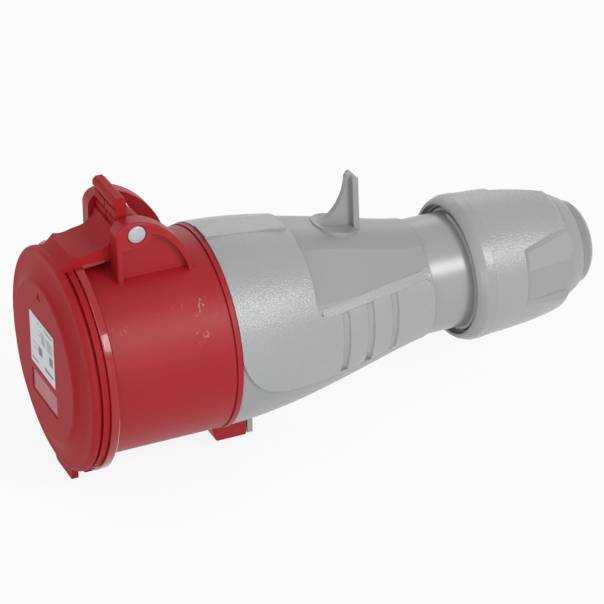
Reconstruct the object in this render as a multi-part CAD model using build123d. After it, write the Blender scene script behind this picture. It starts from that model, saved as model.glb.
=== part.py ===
from build123d import *
import math
import os

# Industrial inline socket, 32 A, three poles and earth, with a sprung hinged lid.
# Millimetres. X runs from the open mouth (X = 0) towards the cable, Z is up, and
# the lid hinges about an axis along Y above the sleeve.

os.makedirs("parts", exist_ok=True)

# fits
RUN = 0.08            # running fit, on the radius
SLIP = 0.15           # loose seat between moulded pieces, on the radius
GAP = 0.3             # open gap between pieces that never touch
PASS = 1.0            # how far a cutting body runs past the face that it cuts

# socket sleeve
SLEEVE_BORE = 32.9
SLEEVE_WALL = 2.3
SLEEVE_END = 49.0
MOUTH_BREAK = 0.4     # broken edge of the mouth
LIP_RISE = 0.4        # lip that meets the rear housing
LIP_LEN = 1.9
LINE_DEPTH = 0.3      # fine groove in front of the lip
LINE_W = 0.4
FLOOR_X = 40.0
FLOOR_T = 3.0
SPIGOT_WALL = 1.9
SPIGOT_LEN = 8.5
KEY_W = 7.0
KEY_DEPTH = 1.2
SLEEVE_R = SLEEVE_BORE + SLEEVE_WALL
SPIGOT_R = SLEEVE_BORE
SPIGOT_BORE = SPIGOT_R - SPIGOT_WALL
SPIGOT_END = SLEEVE_END + SPIGOT_LEN
FLOOR_END = FLOOR_X + FLOOR_T

# gasket on the spigot
GASKET_X = SLEEVE_END + 2.4
GASKET_W = 2.0
GASKET_DEPTH = 0.9

# latch block under the rear of the sleeve
BLOCK_NOSE = 2.4
BLOCK_LEN = 11.0
BLOCK_HALF = 11.4
BLOCK_DROP = 4.8
BLOCK_SKIN = 1.6
BLOCK_SLOT_HALF = 7.0
BLOCK_SLOT_X = SLEEVE_END + 4.0
BLOCK_X1 = SLEEVE_END + BLOCK_LEN
BLOCK_Z = -SLEEVE_R - BLOCK_DROP

# hinge
PIN_X = 20.5
HINGE_RISE = 13.6     # pin above the sleeve
PIN_R = 2.5
PIN_HEAD_R = 3.0
PIN_HEAD_T = 1.2
PIN_DOME = 0.9
ARM_HALF = 9.5
EAR_PLAY = 0.4        # gap between the arm and each ear
EAR_T = 5.9
EAR_AHEAD = 7.1       # ear in front of the pin
EAR_BEHIND = 20.7
EAR_RISE = 4.2
EAR_RECESS = 2.4
EAR_RIM = 2.0
EAR_ROUND = 0.9
EAR_BACK = [(2.7, 3.8), (9.1, 0.5), (13.3, -3.2), (16.9, -8.2), (19.4, -14.0)]     # back edge, from the pin
EAR_WEB = [(8.1, -1.9), (11.8, -5.1), (15.3, -10.0), (17.7, -15.4)]                # recess inside it
BOSS_R = 5.4
PIN_Z = SLEEVE_R + HINGE_RISE
EAR_IN = ARM_HALF + EAR_PLAY
EAR_OUT = EAR_IN + EAR_T
BARREL_R = 4.4

# finger bar on the barrel
BAR_AHEAD = 5.4
BAR_T = 4.5
BAR_RISE = 11.0
BAR_INSET = 0.3
BAR_ROUND = 1.1
RIBS = 3              # finger ribs down the front of the bar
RIB_PITCH = 4.2
RIB_GAP = 0.9
RIB_DEPTH = 0.8
RIB_STEP = 0.45       # each rib stands behind the one above it
BAR_SLOT_HALF = 0.3
BAR_SLOT_DEPTH = 2.2
BAR_X0 = PIN_X - BAR_AHEAD
BAR_X1 = BAR_X0 + BAR_T
BAR_TOP = PIN_Z + BAR_RISE

# closing spring on the pin
WIRE = 0.45           # radius of the wire
SPRING_PLAY = 0.6     # between the pin and the coil
SPRING_RISE = 1.3125
SPRING_TURNS = 4
LEG_UP = 7.4
LEG_DOWN = 17.0
LEG_ANGLE = 28.6
SPRING_R = PIN_R + SPRING_PLAY + WIRE
SLOT_HALF = SPRING_TURNS * SPRING_RISE / 2 + WIRE + 0.125

# lid
LID_PLAY = 0.9        # skirt over the sleeve, on the radius
SKIRT_WALL = 2.55
SKIRT_LEN = 3.7       # skirt behind the mouth
LID_DEPTH = 8.3       # face in front of the mouth
DISC_R = 28.4
DISC_ROUND = 1.1
COVE_X = -5.4         # lowest part of the cove between the disc and the rim
LID_SKIN = 2.9
ARM_RISE = 3.35       # crest of the arm's shoulder above the rim
ARM_SLOPE = 1.05      # rise of the shoulder for each millimetre back
RIM_X = -3.0          # rear edge of the front rim
GROOVE_X = -1.9       # rear edge of the deep groove behind it
GROOVE_DEPTH = 1.35
PART_X = 0.35         # parting line between the two skirt bands
PART_W = 0.3
PART_DEPTH = 0.65
BAND_STEP = 0.25      # front band under the rim
SKIRT_FLARE = 0.75    # rear band proud of the rim
SKIRT_BORE = SLEEVE_R + LID_PLAY
LID_R = SKIRT_BORE + SKIRT_WALL
LID_FACE = -LID_DEPTH

# thumb tab and catches at six o'clock
TAB_X = -3.4
TAB_T = 2.4
TAB_HALF = 8.6
TAB_DROP = 4.25
CATCH_ANGLE = 19.0
CATCH_HALF = 2.8
CATCH_DROP = 1.25

# seal in the lid
SEAL_T = 1.6
SEAL_IN = 1.7         # inner edge inside the sleeve's bore
SEAL_OUT = 0.4        # outer edge outside the sleeve
SEAL_KEY = 0.8
SEAL_KEY_INSET = 0.95
SEAL_R0 = SLEEVE_BORE - SEAL_IN
SEAL_R1 = SLEEVE_R + SEAL_OUT

# label and the marks round it
LABEL_W = 22.4
LABEL_H = 19.4
LABEL_T = 0.2
LABEL_Z = -4.9
WINDOW_W = 23.2
WINDOW_H = 8.5
WINDOW_Z = -16.4
MARK_DEPTH = 0.3
ARROW_Y = 1.8         # arrow mark above the label
ARROW_Z = 22.4
ARROW_HALF = 1.6
ARROW_RISE = 3.0

# contacts and their carrier
CARRIER_R = 28.4
CARRIER_FACE = 1.5
CARRIER_END = 47.0
CARRIER_BREAK = 0.6
PITCH_R = 15.8
PHASE_PIN_R = 3.0
EARTH_PIN_R = 4.0
PIN_PLAY = 0.05
TUBE_WALL = 1.25
TUBE_X = 7.0
TUBE_BORE_END = 33.0
TUBE_SLIT_END = 27.0
TUBE_SLIT = 0.8
TUBE_REAR = 36.0
COLLAR = 0.65
COLLAR_X = 30.0
LEAD_IN = 1.6
LEAD_FLARE = 0.9
POCKET_R = 5.2
POCKET_X = 12.0
POCKET_PITCH = 18.6
CORE_R = 5.4
CORE_X = 14.0
CARRIER_FLANGE_R = SPIGOT_BORE - SLIP

# clamp rings round the slit tubes
RING_X = 11.0
RING_W = 5.0
RING_SLIT = 1.8
RING_TURN = 20.0

# terminals
PLATE_T = 3.0
HEAD_PLAY = 0.05
TERM_LEN = 14.0
TERM_SCREW_R = 1.75
TERM_SCREW_BACK = 5.0
TERM_SCREW_HEAD = 2.4
TERM_SCREW_PROUD = 0.7
WIRE_DEPTH = 10.0
WIRE_SHARE = 0.73     # wire hole as a share of the pin's radius
PLATE_SCREW_R = 1.5
PLATE_SCREW_HEAD = 2.9
PLATE_SCREW_LEN = 13.0
PLATE_SCREW_PITCH = 25.6
PLATE_SCREW_TURN = 24.0
PLATE_X1 = CARRIER_END + PLATE_T
TERM_END = CARRIER_END + TERM_LEN

# rear housing: the body narrows from the sleeve to the neck along a slow S
BODY_LEN = 78.0
BODY_REAR_R = 21.4
BODY_SHAPE = [(0, 1), (0.16, 0.949), (0.282, 0.862), (0.41, 0.739), (0.526, 0.601), (0.654, 0.435),
              (0.782, 0.261), (0.91, 0.094), (1, 0)]
BODY_WALL = 3.7
BODY_X0 = SLEEVE_END
BODY_X1 = BODY_X0 + BODY_LEN

# raised grip skin: the whole front part, and a tongue down each flank
PAD = 0.8
FRONT_LEN = 30.7
STEP_X = BODY_X0 + FRONT_LEN
PAD_TOP = 10.2
PAD_FOOT = 12.8       # foot of the sloping band above the tongue
PAD_X1 = BODY_X1 + 0.2
PAD_FLOOR = [(3.6, -12.9), (27.2, -13.6), (42.9, -15.2), (57.6, -13.6),
             (67.0, -11.0), (72.0, -7.3), (76.0, -2.2)]     # lower edge, from the rear
FLAT_NEAR = 31.9      # long flats on the upper flanks, distance from the axis at each end
FLAT_FAR = 20.55
FLAT_START = STEP_X - 8.0
FLAT_REACH = 18.0     # how far the flats' cutting body reaches out
RIDGE_HALF = 4.8      # flat strip along the top of the front part
RIDGE_RISE = 1.1
GRIP_PITCH = 10.3
GRIP_X0 = STEP_X + 9.9
GRIP_CUTS = 3
GRIP_R = 1.6
GRIP_DEPTH = 1.05
GRIP_LOW = -13.2

# fin behind the lid's landing, with a flange across its rear and a pad at its foot
FIN_X0 = 91.0
FIN_FOOT_Z = 29.2
FIN_TOP = 46.0
FIN_T = 2.2
FIN_DEPTH = 14.6
FIN_REAR = FIN_X0 + FIN_DEPTH
FLANGE_W = 6.2
FLANGE_T = 2.2
FIN_ROOT = 20.0
PAD_DISC_R = 8.2
PAD_DISC_T = 3.0
PAD_DISC_X = FIN_X0 + 7.5
PAD_DISC_Z = 26.6
PAD_DISC_TILT = 13.2
PAD_DISC_HALF = 9.0

# tab behind the latch block
REAR_TAB_X = BLOCK_X1 + 0.6
REAR_TAB_T = 2.0
REAR_TAB_INSET = 0.4
REAR_TAB_RISE = 0.2

# neck, thread collar and the seat of the cable seal
NECK_R = 20.6
NECK_BORE = 17.6
NECK_END = 155.0
SEAT_X = 146.0
SEAT_R = 18.4
THREAD_R = 22.0       # crest of the gland thread
THREAD_ROOT_R = 21.0
THREAD_X = 144.4
THREAD_LEAD = 0.8

# cable gland
CABLE_R = 9.0
NUT_X0 = 142.2
NUT_LEN = 46.2
NUT_PLAY = 0.35
MOUTH_PLAY = 1.35     # wider mouth in front of the thread
MOUTH_DEPTH = 2.4
MOUTH_LIP = 1.05
BAND_LEN = 6.8        # band at the mouth, and the barrel behind it down to the lobes' ends
BAND_R = 26.1
BARREL_SHAPE = [(6.8, 25.95), (11.8, 25.6), (16.8, 25.3), (21.8, 24.9), (26.8, 24.4), (31.8, 23.7),
                (35.8, 22.9),
                (38.3, 22.2)]
CAP_SHAPE = [(27.8, 22.6), (33.3, 21.75), (37.3, 20.9), (41.1, 19.6), (43.8, 18.2), (46.2, 16.8)]
NUT_FACES = 12        # the flats shown in the recesses between the lobes
FACE_R0 = 23.5        # distance of a flat from the axis at each end
FACE_R1 = 18.8
FACE_SET = 17.0       # start of the flats behind the nut's mouth
FACE_X0 = NUT_X0 + FACE_SET
FACE_TURN = 16.0
LOBES = 3
RECESS_TURN = 82.0
RECESS_SET = 18.8     # start of the recesses behind the nut's mouth
RECESS_X = NUT_X0 + RECESS_SET
RECESS_R = 25.1       # radius at which the recess's sloping front wall starts
RECESS_FRONT = (23.0, 19.4)     # radius of the floor and half its angle at the front
RECESS_REAR = (20.2, 31.7)      # and at the lobes' ends
NUT_REAR = NUT_X0 + NUT_LEN
NUT_BORE = THREAD_R + NUT_PLAY
MOUTH_R = THREAD_R + MOUTH_PLAY
BUSH_R = 14.4
BUSH_FLANGE_R = 16.0
BUSH_LEN = 7.2
BUSH_MOUTH = 0.9
CONE_X0 = 172.2       # inner cone that closes the basket, radius before clearance
CONE_R0 = 17.4
CONE_X1 = 181.8
CONE_R1 = 13.3
BUSH_END = NUT_REAR + BUSH_LEN

# basket and cable seal inside the nut
SLIP_RING_T = 1.0
SLIP_RING_R = 19.0
BASKET_IN = 14.0
BASKET_R = 19.6
BASKET_RING = 2.6
BASKET_FINGERS = 10
FINGER_GAP = 2.0
FINGER_ROOT = 1.8
SEAL_PLAY = 0.4
SEAL_END = 178.0
SEAL_TIP_R = 12.2


def spun(edges):
    """Solid of revolution about X from a closed outline drawn in X and Z."""
    return revolve(make_face(Plane.XZ * edges), Axis.X)


def turned(points):
    """Solid of revolution about X from (x, radius) points."""
    return spun(Polyline(*points, close=True))


def tube(x0, x1, r1, r0=0.0, y=0.0, z=0.0):
    """Cylinder or tube along X."""
    body = Cylinder(r1, x1 - x0)
    if r0 > 0:
        body -= Cylinder(r0, x1 - x0 + 2 * PASS)
    return Pos((x0 + x1) / 2, y, z) * Rot(0, 90, 0) * body


def bar_y(y0, y1, r, x, z):
    """Cylinder along Y."""
    return Pos(x, (y0 + y1) / 2, z) * Rot(90, 0, 0) * Cylinder(r, y1 - y0)


def slab(edges, y0, y1):
    """Plate between y0 and y1 whose outline is drawn in X and Z."""
    return Pos(0, y0, 0) * extrude(make_face(Plane.XZ * edges), y1 - y0, dir=(0, 1, 0))


def plate_x(edges, x0, x1):
    """Plate between x0 and x1 whose outline is drawn in Y and Z."""
    return Pos(x0, 0, 0) * extrude(make_face(Plane.YZ * edges), x1 - x0, dir=(1, 0, 0))


def block(x0, x1, y0, y1, z0, z1):
    return Pos((x0 + x1) / 2, (y0 + y1) / 2, (z0 + z1) / 2) * Box(x1 - x0, y1 - y0, z1 - z0)


def round_about(count, start=0.0):
    return [start + i * 360.0 / count for i in range(count)]


def moved(points, dx, dz):
    return [(x + dx, z + dz) for x, z in points]


def poles():
    """Name, centre and pin radius of the four poles, the earth at six o'clock."""
    out = []
    for name, angle in (("l1", 180.0), ("l2", 90.0), ("l3", 0.0), ("earth", 270.0)):
        a = math.radians(angle)
        radius = EARTH_PIN_R if name == "earth" else PHASE_PIN_R
        out.append((name, PITCH_R * math.cos(a), PITCH_R * math.sin(a), radius))
    return out


def tube_radius(pin):
    return pin + TUBE_WALL


def head_radius(pin):
    return tube_radius(pin) + HEAD_PLAY


# lid, one moulding: dished front, skirt, arm, hinge barrel, finger bar and thumb tab
def lid_dish():
    crest = LID_R - 1.05
    band = LID_R - BAND_STEP
    groove = LID_R - GROOVE_DEPTH
    flare = LID_R + SKIRT_FLARE
    edges = Curve() + [
        Line((LID_FACE, 0), (LID_FACE, DISC_R - DISC_ROUND)),
        ThreePointArc((LID_FACE, DISC_R - DISC_ROUND), (LID_FACE + 0.3, DISC_R - 0.3),
                      (LID_FACE + DISC_ROUND, DISC_R + 0.4)),
        ThreePointArc((LID_FACE + DISC_ROUND, DISC_R + 0.4), (COVE_X - 0.15, LID_R - 5.6),
                      (COVE_X, crest - 0.6)),
        ThreePointArc((COVE_X, crest - 0.6), (COVE_X + 0.45, crest + 0.55), (COVE_X + 1.5, LID_R)),
        Polyline((COVE_X + 1.5, LID_R), (RIM_X, LID_R), (RIM_X, groove), (GROOVE_X, groove),
                 (GROOVE_X, band),
                 (PART_X, band), (PART_X, LID_R - PART_DEPTH), (PART_X + PART_W, LID_R - PART_DEPTH),
                 (PART_X + PART_W, flare - 0.3), (PART_X + PART_W + 0.3, flare), (SKIRT_LEN - 0.5, flare),
                 (SKIRT_LEN, flare - 0.5),
                 (SKIRT_LEN, SKIRT_BORE), (-SEAL_T, SKIRT_BORE), (-SEAL_T, SEAL_R0 - 1.0),
                 (LID_FACE + LID_SKIN, DISC_R - 2.4), (LID_FACE + LID_SKIN, 0), (LID_FACE, 0)),
    ]
    return spun(edges)


def lid_arm():
    """Arm from the rim to the hinge barrel, with a round shoulder as the rim is, hollow under the skirt."""
    root = SKIRT_BORE + 0.3
    low = LID_R + ARM_RISE
    front = RIM_X - 1.0
    web = (PIN_X - 3.5, PIN_Z - 6.8)
    edges = Curve() + [
        Line((front, root), (front, low + 0.25)),
        Spline((front, low + 0.25), (RIM_X + 2.6, low), (RIM_X + 6.4, low - 0.6), (RIM_X + 10.2, low + 0.2),
               (BAR_X0 - 3.7, PIN_Z - 5.7), (BAR_X0 - 1.1, PIN_Z - 3.6), (BAR_X0, PIN_Z)),
        Line((BAR_X0, PIN_Z), (PIN_X, PIN_Z)),
        Line((PIN_X, PIN_Z), web),
        Polyline(web, (PIN_X - EAR_AHEAD, SLEEVE_R + 2.7), (SKIRT_LEN + 4.3, SLEEVE_R + 2.0),
                 (SKIRT_LEN - 0.6, SKIRT_BORE + 0.8), (front, root)),
    ]
    arm = slab(edges, -ARM_HALF, ARM_HALF) - tube(GROOVE_X, SKIRT_LEN + 0.1, SKIRT_BORE + 0.4)
    foot = low - ARM_SLOPE * 4.6
    shoulder = turned([(RIM_X - 2, 0), (RIM_X - 2, foot), (RIM_X + 8, foot + ARM_SLOPE * 10),
                       (PIN_X, BAR_TOP), (PIN_X + PASS, BAR_TOP), (PIN_X + PASS, 0)])
    return arm & shoulder


def finger_bar():
    """Bar across the barrel, its front stepped into ribs that a slit divides."""
    foot = PIN_Z - PASS
    front = [(BAR_X0 + BAR_ROUND, BAR_TOP), (BAR_X0, BAR_TOP - BAR_ROUND)]
    for i in range(1, RIBS):
        x = BAR_X0 + i * RIB_STEP
        top = BAR_TOP - i * RIB_PITCH
        front += [(x - RIB_STEP, top + RIB_GAP + 0.4), (x - RIB_STEP + 0.4, top + RIB_GAP),
                  (x + RIB_DEPTH, top + RIB_GAP),
                  (x + RIB_DEPTH, top), (x, top - 0.4)]
    outline = Polyline(*front, (front[-1][0], foot), (BAR_X1, foot), (BAR_X1, BAR_TOP - BAR_ROUND),
                       (BAR_X1 - BAR_ROUND, BAR_TOP), close=True)
    half = ARM_HALF - BAR_INSET
    slot = block(BAR_X0 - PASS, BAR_X0 + BAR_SLOT_DEPTH, -BAR_SLOT_HALF, BAR_SLOT_HALF, foot,
                 BAR_TOP - RIB_PITCH)
    return slab(outline, -half, half) - slot


def thumb_tab():
    """Tab at six o'clock with cut corners, and the small catch on each side of it."""
    low = -LID_R - TAB_DROP
    top = -SKIRT_BORE + 0.1
    outline = Polyline((TAB_HALF, top), (TAB_HALF - 0.4, -LID_R - 0.15), (TAB_HALF - 2.6, low + 0.7),
                       (TAB_HALF - 3.8, low), (-TAB_HALF, low), (-TAB_HALF - 0.5, low + 0.7),
                       (-TAB_HALF - 0.5, top),
                       close=True)
    tab = plate_x(outline, TAB_X, TAB_X + TAB_T)
    for side in (-1, 1):
        catch = block(PART_X - LID_SKIN + 1.65, SKIRT_LEN - 1.3, -CATCH_HALF, CATCH_HALF,
                      -LID_R - CATCH_DROP, -LID_R + 1.65)
        tab += Rot(side * CATCH_ANGLE, 0, 0) * catch
    return tab


def make_lid():
    barrel = bar_y(-ARM_HALF, ARM_HALF, BARREL_R, PIN_X, PIN_Z)
    lid = lid_dish() + lid_arm() + barrel + finger_bar() + thumb_tab()
    # window under the label, and a small arrow mark above it
    lid -= block(LID_FACE - PASS, LID_FACE + MARK_DEPTH, -WINDOW_W / 2, WINDOW_W / 2, WINDOW_Z,
                 WINDOW_Z + WINDOW_H)
    arrow = Polyline((ARROW_Y - ARROW_HALF, ARROW_Z), (ARROW_Y + ARROW_HALF, ARROW_Z),
                     (ARROW_Y, ARROW_Z + ARROW_RISE), close=True)
    lid -= plate_x(arrow, LID_FACE - PASS, LID_FACE + MARK_DEPTH)
    # seal groove, pin bore and the slot that takes the spring
    key_in = SEAL_KEY_INSET - 0.05
    lid -= tube(-SEAL_T - SEAL_KEY, -SEAL_T + 0.1, SEAL_R1 - key_in, SEAL_R0 + key_in)
    lid -= bar_y(-EAR_OUT, EAR_OUT, PIN_R + RUN, PIN_X, PIN_Z)
    lid -= bar_y(-SLOT_HALF, SLOT_HALF, BARREL_R + 0.05, PIN_X, PIN_Z)
    return lid - block(BAR_X1, PIN_X + 2 * BARREL_R, -SLOT_HALF, SLOT_HALF, PIN_Z - BARREL_R - 1.6,
                       BAR_TOP - 2.2)


def make_lid_seal():
    key = tube(-SEAL_T - SEAL_KEY, -SEAL_T, SEAL_R1 - SEAL_KEY_INSET, SEAL_R0 + SEAL_KEY_INSET)
    return tube(-SEAL_T, 0, SEAL_R1, SEAL_R0) + key


def make_label():
    return block(LID_FACE - LABEL_T, LID_FACE, -LABEL_W / 2, LABEL_W / 2, LABEL_Z, LABEL_Z + LABEL_H)


# hinge pin with a low domed head at each end, and the spring wound round it
def pin_dome(side):
    """Arc of the sphere that domes one head, from its rim to its tip."""
    sphere = (PIN_HEAD_R ** 2 + PIN_DOME ** 2) / (2 * PIN_DOME)
    centre = EAR_OUT + PIN_DOME - sphere
    half = math.asin(PIN_HEAD_R / sphere) / 2
    middle = (side * (centre + sphere * math.cos(half)), sphere * math.sin(half))
    return ThreePointArc((side * EAR_OUT, PIN_HEAD_R), middle, (side * (centre + sphere), 0))


def make_pin():
    seat = EAR_OUT - PIN_HEAD_T
    tip = EAR_OUT + PIN_DOME
    shank = Polyline((-EAR_OUT, PIN_HEAD_R), (-seat, PIN_HEAD_R), (-seat, PIN_R), (seat, PIN_R),
                     (seat, PIN_HEAD_R),
                     (EAR_OUT, PIN_HEAD_R))
    edges = Curve() + [Line((-tip, 0), (tip, 0)), pin_dome(1), shank, pin_dome(-1)]
    return Pos(PIN_X, 0, PIN_Z) * Rot(0, 0, 90) * spun(edges)


def make_spring():
    """Closing spring: a coil on the pin, one leg behind the finger bar, one on the sleeve."""
    width = SPRING_TURNS * SPRING_RISE
    helix = Helix(pitch=SPRING_RISE, height=width, radius=SPRING_R)
    section = Plane(origin=helix @ 0, z_dir=helix % 0) * Circle(WIRE)
    coil = Rot(90, 0, 0) * Pos(0, 0, -width / 2) * sweep(section, helix, is_frenet=True)
    x = SPRING_R - 0.05
    leg_up = Pos(x, -width / 2, LEG_UP / 2) * Cylinder(WIRE, LEG_UP)
    leg_down = Pos(x, width / 2, -LEG_DOWN / 2) * Cylinder(WIRE, LEG_DOWN)
    return Pos(PIN_X, 0, PIN_Z) * Rot(0, -LEG_ANGLE, 0) * (coil + leg_up + leg_down)


# socket sleeve with hinge ears, floor, spigot and the latch block under its rear
def ear():
    """Ear on the far side: a plate with a rounded back edge and a recess round the pin's boss."""
    front = PIN_X - EAR_AHEAD
    rear = PIN_X + EAR_BEHIND
    root = SLEEVE_BORE - 2.9
    top = (PIN_X - 2.1, PIN_Z + EAR_RISE)
    back = moved(EAR_BACK, PIN_X, PIN_Z)
    outline = Curve() + [
        Line((front, root), (front, PIN_Z - 0.6)),
        ThreePointArc((front, PIN_Z - 0.6), (front + 1.5, PIN_Z + 2.9), top),
        Spline(top, *back, (rear, root)),
        Line((rear, root), (front, root)),
    ]
    plate = slab(outline, EAR_IN, EAR_OUT)
    rim = plate.faces().sort_by(Axis.Y)[-1].edges()
    plate = fillet([e for e in rim if e.center().Z > root + 1], EAR_ROUND)
    x0, z0 = front + EAR_RIM, PIN_Z - BOSS_R
    boss_end = (PIN_X + BOSS_R, PIN_Z - 0.9)
    inner = moved(EAR_WEB, PIN_X, PIN_Z)
    recess = Curve() + [
        Line((x0, root), (x0, z0)),
        Line((x0, z0), (PIN_X + 0.5, z0)),
        ThreePointArc((PIN_X + 0.5, z0), (PIN_X + 3.6, PIN_Z - 4.1), boss_end),
        Line(boss_end, inner[0]),
        Spline(*inner, (rear - EAR_RIM - 0.2, root)),
        Line((rear - EAR_RIM - 0.2, root), (x0, root)),
    ]
    return plate - slab(recess, EAR_OUT - EAR_RECESS, EAR_OUT + PASS)


def latch_block():
    """Block under the sleeve's rear, hollow from behind, its top clear of the housing."""
    root = -SLEEVE_BORE - 0.7
    nose = SLEEVE_END - BLOCK_NOSE
    profile = Polyline((nose, root), (nose + 2.0, BLOCK_Z + 0.5), (nose + 2.6, BLOCK_Z),
                       (BLOCK_X1 - 0.4, BLOCK_Z),
                       (BLOCK_X1, BLOCK_Z + 0.4), (BLOCK_X1, root), close=True)
    piece = slab(profile, -BLOCK_HALF, BLOCK_HALF)
    piece -= tube(SLEEVE_END, BLOCK_X1 + PASS, SLEEVE_R + GAP)
    piece -= tube(FLOOR_X, SLEEVE_END, SLEEVE_BORE + 1.0)
    half = BLOCK_SLOT_HALF
    return piece - block(BLOCK_SLOT_X, BLOCK_X1 + PASS, -half, half, BLOCK_Z + BLOCK_SKIN, root + 4)


def make_sleeve():
    lip = SLEEVE_END - LIP_LEN
    line = SLEEVE_R - LINE_DEPTH
    sleeve = turned([(0, SLEEVE_BORE), (0, SLEEVE_R - MOUTH_BREAK), (MOUTH_BREAK, SLEEVE_R),
                     (lip - LINE_W, SLEEVE_R), (lip - LINE_W, line), (lip, line),
                     (lip, SLEEVE_R + LIP_RISE),
                     (SLEEVE_END, SLEEVE_R + LIP_RISE), (SLEEVE_END, SPIGOT_R), (SPIGOT_END, SPIGOT_R),
                     (SPIGOT_END, SPIGOT_BORE), (FLOOR_END, SPIGOT_BORE), (FLOOR_END, CARRIER_R + SLIP),
                     (FLOOR_X, CARRIER_R + SLIP), (FLOOR_X, SLEEVE_BORE)])
    lug = ear() - tube(PIN_X - EAR_AHEAD - PASS, PIN_X + EAR_BEHIND + PASS, SLEEVE_BORE + 0.6)
    sleeve += lug
    sleeve += mirror(lug, Plane.XZ)
    sleeve += latch_block()
    # keyway at six o'clock, gasket groove, pin bores with counterbores
    sleeve -= block(-PASS, FLOOR_X, -KEY_W / 2, KEY_W / 2, -SLEEVE_BORE - KEY_DEPTH, -SLEEVE_BORE + 2)
    sleeve -= tube(GASKET_X, GASKET_X + GASKET_W, SPIGOT_R + PASS, SPIGOT_R - GASKET_DEPTH)
    for y, z in plate_screw_places():
        sleeve -= tube(FLOOR_X - PASS, FLOOR_END + PASS, PLATE_SCREW_R + GAP, 0, y, z)
    sleeve -= bar_y(-EAR_OUT - PASS, EAR_OUT + PASS, PIN_R, PIN_X, PIN_Z)
    for y in (-EAR_OUT, EAR_OUT):
        sleeve -= bar_y(y - PIN_HEAD_T, y + PIN_HEAD_T, PIN_HEAD_R + GAP, PIN_X, PIN_Z)
    return sleeve


# contact carrier, contacts, and the plate that holds them from behind
def plate_screw_places():
    a = math.radians(PLATE_SCREW_TURN)
    return [(side * PLATE_SCREW_PITCH * math.cos(a), PLATE_SCREW_PITCH * math.sin(side * a))
            for side in (-1, 1)]


def make_carrier():
    body = turned([(CARRIER_FACE, 0), (CARRIER_FACE, CARRIER_R - CARRIER_BREAK),
                   (CARRIER_FACE + CARRIER_BREAK, CARRIER_R), (FLOOR_END, CARRIER_R),
                   (FLOOR_END, CARRIER_FLANGE_R), (CARRIER_END, CARRIER_FLANGE_R), (CARRIER_END, 0)])
    rear = CARRIER_END + PASS
    for name, y, z, pin in poles():
        body -= tube(0, TUBE_X + 0.1, pin + 0.4, 0, y, z)
        body -= tube(TUBE_X - GAP, rear, tube_radius(pin) + COLLAR, 0, y, z)
        body -= Pos(CARRIER_FACE, y, z) * Rot(0, 90, 0) * Cone(pin + 0.2 + LEAD_FLARE, pin + 0.2, LEAD_IN)
    # cored pockets between the poles and behind them, and holes for the plate screws
    for turn in round_about(4, 45):
        a = math.radians(turn)
        body -= tube(POCKET_X, rear, POCKET_R, 0, POCKET_PITCH * math.cos(a), POCKET_PITCH * math.sin(a))
    body -= tube(CORE_X, rear, CORE_R)
    for y, z in plate_screw_places():
        body -= tube(PLATE_X1 - PLATE_SCREW_LEN - 3, rear, PLATE_SCREW_R, 0, y, z)
    return body


def make_contact(y, z, pin):
    """Slit brass tube with a collar, a clamping head and its wire hole."""
    out = tube_radius(pin)
    body = tube(TUBE_X, TUBE_REAR, out, 0, y, z) + tube(COLLAR_X, CARRIER_END, out + COLLAR, 0, y, z)
    body += tube(CARRIER_END, TERM_END, head_radius(pin), 0, y, z)
    body -= tube(TUBE_X - PASS, TUBE_BORE_END, pin + PIN_PLAY, 0, y, z)
    reach = out + 2 * PASS
    for turn in (45, 135):
        cut = block(TUBE_X - PASS, TUBE_SLIT_END, -TUBE_SLIT / 2, TUBE_SLIT / 2, -reach, reach)
        body -= Pos(0, y, z) * Rot(turn, 0, 0) * cut
    body -= tube(TERM_END - WIRE_DEPTH, TERM_END + PASS, WIRE_SHARE * pin, 0, y, z)
    depth = head_radius(pin) + PASS
    hole = Pos(0, 0, depth / 2) * Cylinder(TERM_SCREW_R, depth)
    return body - terminal_place(y, z) * hole


def terminal_place(y, z):
    """Where a terminal screw stands: across its contact, pointing away from the axis."""
    outward = math.degrees(math.atan2(z, y))
    return Pos(TERM_END - TERM_SCREW_BACK, y, z) * Rot(outward - 90, 0, 0)


def make_clamp_ring(y, z, pin):
    out = tube_radius(pin)
    ring = tube(RING_X, RING_X + RING_W, out + COLLAR - 0.1, out, y, z)
    slit = block(RING_X - PASS, RING_X + RING_W + PASS, -RING_SLIT / 2, RING_SLIT / 2, 0, out + 2 * PASS)
    return ring - Pos(0, y, z) * Rot(RING_TURN, 0, 0) * slit


def make_plate():
    plate = tube(CARRIER_END, PLATE_X1, CARRIER_FLANGE_R - GAP)
    for name, y, z, pin in poles():
        plate -= tube(CARRIER_END - PASS, PLATE_X1 + PASS, head_radius(pin) + SLIP, 0, y, z)
    for y, z in plate_screw_places():
        plate -= tube(CARRIER_END - PASS, PLATE_X1 + PASS, PLATE_SCREW_R + SLIP, 0, y, z)
    return plate


def cross_screw(length, shank_r, head_r, head_h):
    """Pan head screw along -Z, its head seated on Z = 0, with a cross slot."""
    screw = Pos(0, 0, -length / 2) * Cylinder(shank_r, length)
    screw += Pos(0, 0, head_h / 2) * Cylinder(head_r, head_h)
    for turn in (0, 90):
        screw -= Rot(0, 0, turn) * Pos(0, 0, head_h) * Box(head_r * 1.3, head_r * 0.27, head_h)
    return screw


def make_plate_screws():
    screw = Rot(0, 90, 0) * cross_screw(PLATE_SCREW_LEN, PLATE_SCREW_R, PLATE_SCREW_HEAD, 1.7)
    return Compound(children=[Pos(PLATE_X1, y, z) * screw for y, z in plate_screw_places()])


def make_terminal_screws():
    screws = []
    for name, y, z, pin in poles():
        seat = head_radius(pin) + TERM_SCREW_PROUD
        shank = seat - 0.6 * WIRE_SHARE * pin
        screw = cross_screw(shank, TERM_SCREW_R, TERM_SCREW_HEAD, 1.2)
        screws.append(terminal_place(y, z) * Pos(0, 0, seat) * screw)
    return Compound(children=screws)


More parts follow.
